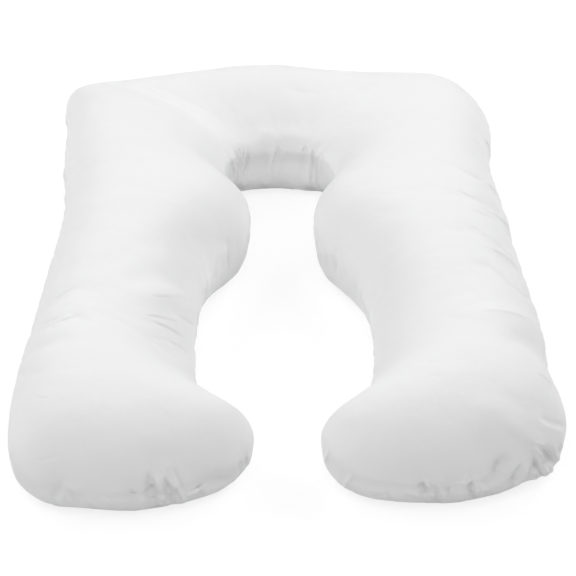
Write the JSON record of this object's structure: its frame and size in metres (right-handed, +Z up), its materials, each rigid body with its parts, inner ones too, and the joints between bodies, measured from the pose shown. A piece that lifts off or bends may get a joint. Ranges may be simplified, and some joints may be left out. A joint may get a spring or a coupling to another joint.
{
  "type": "pregnancy pillow",
  "caption": "U-shaped full-body pregnancy pillow in plain white fabric: a thick head end with a round notch, and long arms whose broad rounded feet curve in towards each other.",
  "frame": {"origin": "centre of the bounding box on the surface the pillow lies on", "axes": "+X to the right as seen from the foot end, +Y from the feet towards the head end, +Z up"},
  "size_m": [0.9057, 1.3808, 0.2175],
  "materials": {
    "cover": "matte"
  },
  "bodies": {
    "root": {"pillow": "cover"}
  },
  "joints": []
}
